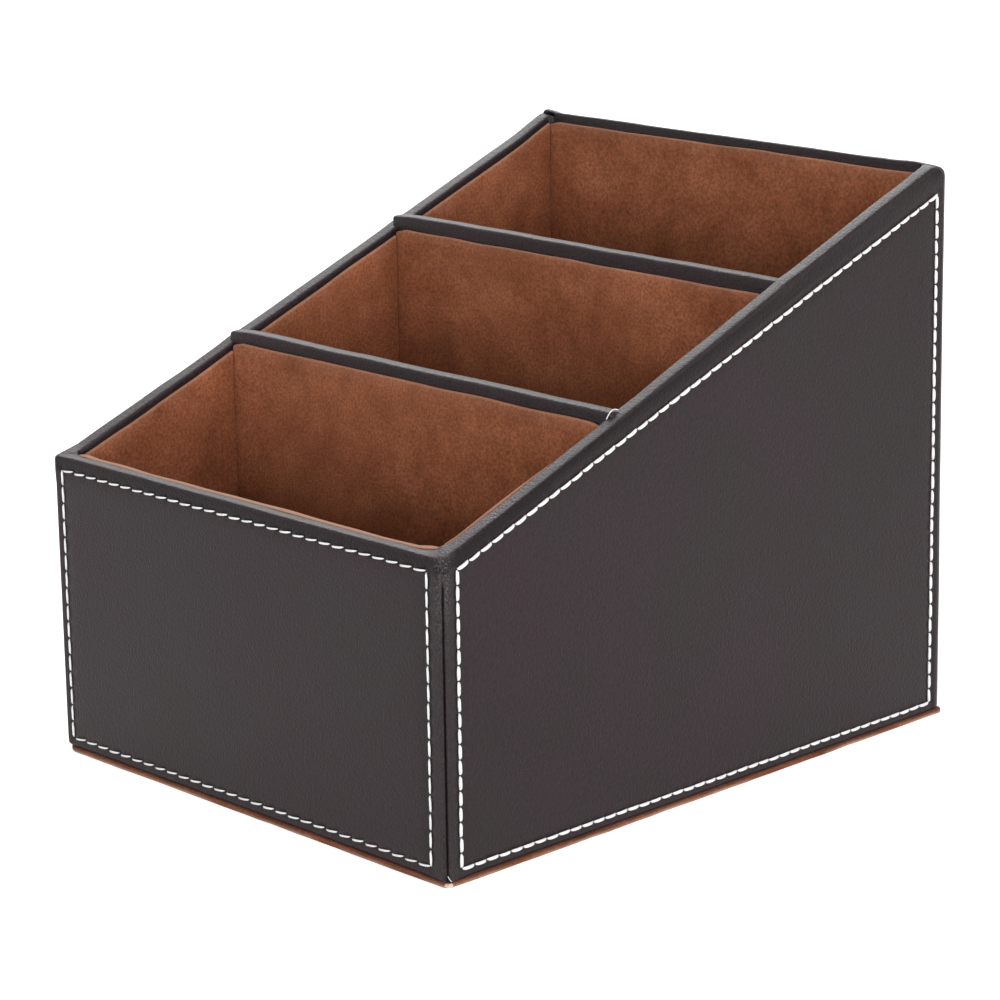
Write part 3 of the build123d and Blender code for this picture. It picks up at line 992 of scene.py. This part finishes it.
def lining_card(node):
    # A stiff card with soft edges and an uneven, slightly wavy top
    low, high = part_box(node)
    place = node.split("_")[2]
    card = add_block(node.replace("_lining", "_suede"), low, high)
    lift = LINING_LIFTS.get(node, LINING_LIFTS.get(place, 0.0))

    def top_at(y):
        # Side cards follow the slope of their wall
        if place in ("left", "right"):
            sink = 0.0
            if node == "front_bay_right_lining":
                sink = FRONT_BAY_SINK * softly((y + 0.050) / 0.020)
            return FRONT_RIM + side_rise(1.0 if place == "right" else -1.0, y) + lift - sink
        return high.z + lift

    def straight_top(y):
        share = (y - low.y) / (high.y - low.y)
        return top_at(low.y) + (top_at(high.y) - top_at(low.y)) * share

    middle_z = (low.z + high.z) / 2
    move_points(card, lambda p: Vector((p.x, p.y, straight_top(p.y))) if p.z > middle_z else p)
    bpy.ops.object.mode_set(mode="EDIT")
    bpy.ops.mesh.select_all(action="SELECT")
    bpy.ops.mesh.bevel(offset=CARD_EDGE_ROUND, segments=4, affect="EDGES")
    for axis in range(3):
        if high[axis] - low[axis] > 0.004:
            score(card, axis, lines_between(low[axis], high[axis], CARD_STEP))
    bpy.ops.object.mode_set(mode="OBJECT")
    thin_axis = min(range(3), key=lambda axis: high[axis] - low[axis])
    shift = 30.0 * high.y + 7.0 * low.x

    def uneven(p):
        along = Vector((p.x * 45.0 + shift, p.y * 45.0, p.z * 28.0))
        q = p.copy()
        q[thin_axis] += CARD_UNEVEN * noise.noise(along)
        up = (p.z - low.z) / (straight_top(p.y) - low.z)
        q.z += (top_at(p.y) - straight_top(p.y)) * softly(up)
        if place != "floor":
            near_top = softly(1.0 - (top_at(p.y) - p.z) / CARD_TOP_REACH)
            q.z += CARD_TOP_UNEVEN * near_top * noise.noise(Vector((p.x * 80.0 + shift, p.y * 80.0, 2.0)))
        if place in ("front", "back"):
            for edge in (-1.0, 1.0):
                end = high.x if edge > 0 else -low.x
                from_end, from_top = end - edge * p.x, top_at(p.y) - p.z
                if abs(from_end) < CARD_CORNER_ROUND and from_top < CARD_CORNER_ROUND:
                    a, b = round_corner(from_end, from_top, CARD_CORNER_ROUND)
                    q.x = edge * (end - a)
                    q.z = top_at(p.y) - b
        if node == "front_bay_front_lining":
            # Its upper edge swells over the rim and climbs with it at the ends
            swell = FRONT_CARD_SWELL * softly(1.0 - (high.z - p.z) / 0.0030)
            q.y -= swell * softly((high.y - p.y) / 0.0008)
            near_end = softly(1.0 - (HALF_W - WALL - abs(p.x)) / FRONT_CURL_REACH)
            q.z += side_rise(p.x, WALL - HALF_D) * near_end * softly(up)
        if node.startswith("front_bay") and place in ("front", "right"):
            bend_into_corner(q, place, softly((p.z - 0.048) / 0.008))
        return q

    # Paler top edge, partly the cut edge and partly a painted highlight
    paint(card, "cut_edge_and_painted_light", lambda p: EDGE_AND_HIGHLIGHT_SHARES.get(node, PLAIN_EDGE_AND_HIGHLIGHT) *
          softly(1.0 - (straight_top(p.y) - p.z) / EDGE_AND_HIGHLIGHT_DEPTH))
    move_points(card, uneven)
    finish_piece(card, suede, [node])


for node_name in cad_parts:
    if node_name.endswith("_lining"):
        lining_card(node_name)


# Tan pad under the whole box
PAD_LEFT_FRONT_ROUND, PAD_CORNER_ROUND, PAD_EDGE_ROUND = 0.0040, 0.0016, 0.00025
PAD_STEP = 0.004
PAD_REACH = 0.00065
PAD_RAGGED_X, PAD_RAGGED_Y = 0.0035, 0.0030
pad_low, pad_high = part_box("base_pad")
pad = add_block("pad_suede", pad_low, pad_high)
bpy.ops.object.mode_set(mode="EDIT")
for radius, at_left_front in ((PAD_LEFT_FRONT_ROUND, True), (PAD_CORNER_ROUND, False)):
    pick(pad, "EDGE", lambda edge: rise_of(edge) > 0.0005 and
         (edge.verts[0].co.x < 0 and edge.verts[0].co.y < 0) == at_left_front)
    bpy.ops.mesh.bevel(offset=radius, segments=6, affect="EDGES")
pick(pad, "EDGE", lambda edge: rise_of(edge) < ON_PLANE)
bpy.ops.mesh.bevel(offset=PAD_EDGE_ROUND, segments=3, affect="EDGES")
score(pad, 0, lines_between(pad_low.x, pad_high.x, PAD_STEP))
score(pad, 1, lines_between(pad_low.y, pad_high.y, PAD_STEP))
bpy.ops.object.mode_set(mode="OBJECT")


def ragged_edge(p):
    # The pad reaches a little past the walls, by an uneven amount
    ragged_x = PAD_RAGGED_X * noise.noise(Vector((0.3, p.y * 150.0, p.z * 200.0)))
    ragged_y = PAD_RAGGED_Y * noise.noise(Vector((p.x * 150.0, 0.7, p.z * 200.0)))
    x = p.x * (1.0 + PAD_REACH / pad_high.x + ragged_x)
    y = p.y * (1.0 + PAD_REACH / pad_high.y + ragged_y)
    return Vector((x, y, p.z))


move_points(pad, ragged_edge)
# Painted light: the pad turns paler towards its foot, unevenly
paint(pad, "cut_edge_and_painted_light", lambda p: softly(0.75 - p.z / 0.0011) * softly(0.5 + 1.3 * noise.noise(p * 90.0)))
finish_piece(pad, pad_suede, ["base_pad"])


# White thread: one stitch modelled once and copied along every row
def stitch_pattern():
    # A bead of thread one unit long each way, to be scaled to the row
    lift_selection()
    lying = (0, math.radians(90), 0)
    bpy.ops.mesh.primitive_uv_sphere_add(segments=8, ring_count=7, radius=1.0, rotation=lying)
    pattern = bpy.context.object
    bpy.ops.object.transform_apply(location=True, rotation=True, scale=True)
    pattern.name = "stitch"

    def fill_out(p):
        # Fuller towards its ends than an egg
        t = max(-1.0, min(1.0, p.x))
        round_now = math.sqrt(max(1e-9, 1.0 - t * t))
        round_full = (1.0 - abs(t) ** 3.2) ** 0.45 if abs(t) < 1 else 0.0
        grow = round_full / round_now if abs(t) < 0.999 else 1.0
        stretched = math.copysign(abs(t) ** 0.8, t)
        return Vector((stretched, p.y * grow, p.z * grow))

    move_points(pattern, fill_out)
    return pattern


STITCH_LENGTHS, STITCH_WIDTHS = (0.97, 1.02), (0.94, 1.06)
STITCH_WOBBLE, STITCH_TILT = 0.00006, 0.00004
STITCH_FLATNESS, STITCH_STANDS_OUT, STITCH_END_SINK = 0.85, 0.00012, 0.00030
STITCH_STYLES = {
    # width, share of the pitch, slant, sideways bulge
    "level": (0.00045, 0.88, 0.00018, -0.00006),
    "upright": (0.00050, 0.93, 0.00005, -0.00024),
    "sloping": (0.00074, 0.97, 0.00004, -0.00010),
    "bottom": (0.00070, 0.95, 0.00005, -0.00008),
    "front": (0.00074, 0.95, 0.00003, 0.00012),
    "rear": (0.00074, 0.95, 0.00003, 0.00012),
}


def stitched_border(name, wall, node):
    # Copies of the stitch laid along every row of one wall, each a little different
    stitches = []
    for start, end, count, style in WALL_ROWS[wall]:
        width, share, slant, bulge = STITCH_STYLES[style]
        run = (Vector(end) - Vector(start)) / count
        pitch = run.length
        forward = run / pitch
        sideways = Vector((-forward.y, forward.x))
        for i in range(count):
            middle = Vector(start) + run * (i + 0.5)
            half = pitch * share / 2 * chance.uniform(*STITCH_LENGTHS)
            wobble = chance.uniform(-STITCH_WOBBLE, STITCH_WOBBLE)
            tilt = slant + chance.uniform(-STITCH_TILT, STITCH_TILT)
            radius = width / 2 * chance.uniform(*STITCH_WIDTHS)
            only(pattern)
            bpy.ops.object.duplicate()
            stitch = bpy.context.object

            def lay(p):
                t = p.x
                aside = p.y * radius + tilt * t + bulge * (1.0 - t * t) + wobble
                out = p.z * radius * STITCH_FLATNESS + STITCH_STANDS_OUT - STITCH_END_SINK * abs(t) ** 5
                spot = middle + forward * (half * t) + sideways * aside
                return on_wall(wall, spot.x, spot.y, out)

            move_points(stitch, lay)
            stitches.append(stitch)
    lift_selection()
    for stitch in stitches:
        stitch.select_set(True)
    bpy.context.view_layer.objects.active = stitches[0]
    bpy.ops.object.join()
    border = bpy.context.object
    border.name = name
    border.data.name = name
    bpy.ops.object.mode_set(mode="EDIT")
    bpy.ops.mesh.select_all(action="SELECT")
    bpy.ops.mesh.normals_make_consistent(inside=False)
    bpy.ops.object.mode_set(mode="OBJECT")
    finish_piece(border, thread, [node], angle=80.0)


chance = random.Random(29)
pattern = stitch_pattern()
stitched_border("front_thread", "front", "front_stitching")
stitched_border("right_side_thread", "right", "right_side_stitching")
stitched_border("back_thread", "back", "back_stitching")
stitched_border("left_side_thread", "left", "left_side_stitching")
lift_selection()
bpy.data.objects.remove(pattern)


# Loose thread ends: a small loop at the front divider and a tail at the worn front corner
LOOP_THICKNESS, TAIL_THICKNESS = 0.00022, 0.00014


def loose_thread(name, places, thickness):
    # A length of thread along a few places
    lift_selection()
    bpy.ops.curve.primitive_nurbs_path_add(radius=0.001)
    path = bpy.context.object
    points = path.data.splines[0].points
    points.add(len(places) - len(points))
    for point, place in zip(points, places):
        point.co = (*place, 1.0)
    path.data.splines[0].use_endpoint_u = True
    path.data.resolution_u = 6
    path.data.bevel_depth = thickness / 2
    path.data.bevel_resolution = 2
    path.data.use_fill_caps = True
    bpy.ops.object.convert(target="MESH")
    tail = bpy.context.object
    tail.name = name
    tail.data.name = name
    bpy.ops.object.transform_apply(location=True, rotation=True, scale=True)
    finish_piece(tail, thread, [])


loose_thread("divider_thread_loop", [
    (0.0566, -0.0270, 0.0832), (0.0568, -0.0271, 0.0836), (0.0572, -0.0271, 0.0843),
    (0.0576, -0.0270, 0.0850), (0.0575, -0.0263, 0.0854), (0.0572, -0.0255, 0.0854),
    (0.0571, -0.0248, 0.0853), (0.0573, -0.0242, 0.0851),
], LOOP_THICKNESS)
loose_thread("corner_thread_tail", [
    (0.0600, -0.0744, 0.0026), (0.0603, -0.0744, 0.0022), (0.0604, -0.0743, 0.0019),
    (0.0604, -0.0740, 0.0016), (0.0604, -0.0738, 0.0015),
], TAIL_THICKNESS)


def worn_patch(name, middle, reach):
    # Board showing where the leather has worn off the corner
    lift_selection()
    bpy.ops.mesh.primitive_ico_sphere_add(subdivisions=3, radius=1.0)
    patch = bpy.context.object
    patch.name = name
    patch.data.name = name

    def ragged(p):
        grow = 1.0 + 0.55 * noise.noise(p * 2.3 + Vector((3.0, 1.0, 7.0)))
        return Vector(middle) + Vector((p.x * reach[0], p.y * reach[1], p.z * reach[2])) * grow

    move_points(patch, ragged)
    finish_piece(patch, bare_board, [])


worn_patch("worn_corner", middle=(0.0601, -0.0742, 0.0007), reach=(0.0007, 0.0009, 0.00030))


# Floor, backdrop and light
FLOOR_GLOW = 0.6
BACKDROP_SEEN, BACKDROP_FILL = 0.95, 0.05
LAMP_SIZE = 0.9
LAMP_TARGET = (0, 0, 0.06)
LAMPS = {
    "top_softbox": ((0.11, -0.11, 1.84), 12.0),
    "front_softbox": ((0.0, -1.77, 0.36), 12.0),
    "corner_softbox": ((1.25, -1.25, 0.36), 12.0),
    "side_softbox": ((1.77, 0.0, 0.36), 20.8),
    "back_left_softbox": ((-1.16, 0.67, 1.25), 8.8),
    "back_softbox": ((-1.10, 1.10, 0.95), 6.3),
}


def seen_or_mirrored(nodes, links):
    # One for camera, glossy and transmission rays, which see the white backdrop
    path = nodes.new("ShaderNodeLightPath")
    total = None
    for ray in ("Is Camera Ray", "Is Glossy Ray", "Is Transmission Ray"):
        if total is None:
            total = path.outputs[ray]
            continue
        either = nodes.new("ShaderNodeMath")
        either.operation = "MAXIMUM"
        links.new(total, either.inputs[0])
        links.new(path.outputs[ray], either.inputs[1])
        total = either.outputs["Value"]
    return total


floor_surface = Surface("pale_floor")
floor_surface.shader.inputs["Base Color"].default_value = (0.9, 0.9, 0.9, 1)
floor_surface.shader.inputs["Roughness"].default_value = 0.8
floor_surface.shader.inputs["Emission Color"].default_value = (*WHITE, 1)
floor_surface.links.new(
    floor_surface.math("MULTIPLY", seen_or_mirrored(floor_surface.nodes, floor_surface.links), FLOOR_GLOW),
    floor_surface.shader.inputs["Emission Strength"],
)
lift_selection()
bpy.ops.mesh.primitive_plane_add(size=6.0, location=(0, 0, 0))
floor = bpy.context.object
floor.name = "floor"
floor.data.materials.append(floor_surface.material)

world = bpy.data.worlds.new("studio")
world.use_nodes = True
bpy.context.scene.world = world
world_nodes = world.node_tree.nodes
world_links = world.node_tree.links
background = world_nodes["Background"]
background.inputs["Color"].default_value = (*WHITE, 1)
strength = world_nodes.new("ShaderNodeMath")
strength.operation = "MULTIPLY_ADD"
strength.inputs[1].default_value = BACKDROP_SEEN
strength.inputs[2].default_value = BACKDROP_FILL
world_links.new(seen_or_mirrored(world_nodes, world_links), strength.inputs[0])
world_links.new(strength.outputs["Value"], background.inputs["Strength"])


def soft_lamp(name, place, power):
    # A square soft light turned towards the box
    lamp_data = bpy.data.lights.new(name, "AREA")
    lamp_data.shape = "SQUARE"
    lamp_data.size = LAMP_SIZE
    lamp_data.energy = power
    lamp = bpy.data.objects.new(name, lamp_data)
    lamp.location = place
    lamp.rotation_euler = (Vector(LAMP_TARGET) - Vector(place)).to_track_quat("-Z", "Y").to_euler()
    bpy.context.collection.objects.link(lamp)


for lamp_name, (place, power) in LAMPS.items():
    soft_lamp(lamp_name, place, power)

bpy.context.scene.view_settings.view_transform = "Standard"
